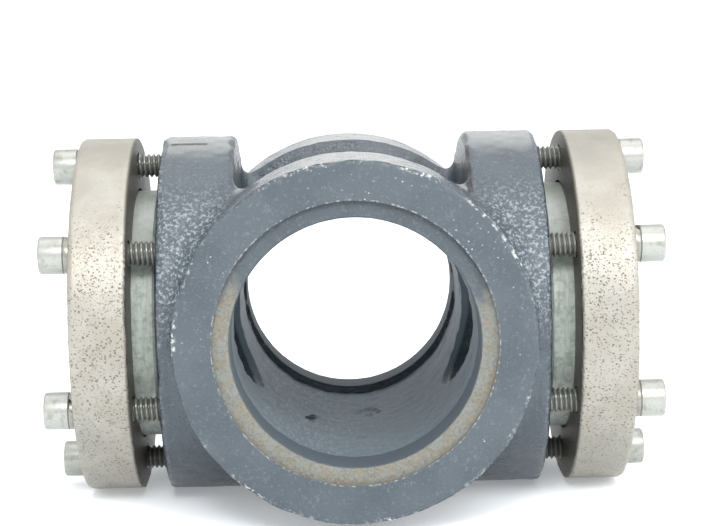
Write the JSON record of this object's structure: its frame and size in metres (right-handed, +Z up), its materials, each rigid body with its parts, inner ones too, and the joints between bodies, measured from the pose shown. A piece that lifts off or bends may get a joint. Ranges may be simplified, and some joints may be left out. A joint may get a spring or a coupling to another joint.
{
  "type": "sight glass",
  "caption": "Cast in-line sight glass for pipework: round gasketed ports on the flow axis and a bolted glass window with a retainer ring on each side.",
  "frame": {"origin": "where the flow axis crosses the window axis, at the centre of the part", "axes": "+Y along the flow towards the outlet, +X along the window axis, +Z up; the part rests on the rims of its window bosses"},
  "size_m": [0.157, 0.1234, 0.0944],
  "materials": {
    "casting_paint": "worn satin paint on a rough casting",
    "sight_glass": "polished faces, frosted pale green edge",
    "gasket_sheet": "matt sheet",
    "retainer_zinc": "dull plated, lightly rust stained",
    "screw_zinc": "bright zinc",
    "washer_zinc": "bright zinc"
  },
  "bodies": {
    "root": {"body_casting": "casting_paint", "left_cushion_gasket": "gasket_sheet", "left_glass": "sight_glass", "left_inner_gasket": "gasket_sheet", "left_lock_washer_1": "washer_zinc", "left_lock_washer_2": "washer_zinc", "left_lock_washer_3": "washer_zinc", "left_lock_washer_4": "washer_zinc", "left_lock_washer_5": "washer_zinc", "left_lock_washer_6": "washer_zinc", "left_retainer": "retainer_zinc", "left_screw_1": "screw_zinc", "left_screw_2": "screw_zinc", "left_screw_3": "screw_zinc", "left_screw_4": "screw_zinc", "left_screw_5": "screw_zinc", "left_screw_6": "screw_zinc", "right_cushion_gasket": "gasket_sheet", "right_glass": "sight_glass", "right_inner_gasket": "gasket_sheet", "right_lock_washer_1": "washer_zinc", "right_lock_washer_2": "washer_zinc", "right_lock_washer_3": "washer_zinc", "right_lock_washer_4": "washer_zinc", "right_lock_washer_5": "washer_zinc", "right_lock_washer_6": "washer_zinc", "right_retainer": "retainer_zinc", "right_screw_1": "screw_zinc", "right_screw_2": "screw_zinc", "right_screw_3": "screw_zinc", "right_screw_4": "screw_zinc", "right_screw_5": "screw_zinc", "right_screw_6": "screw_zinc"}
  },
  "joints": []
}
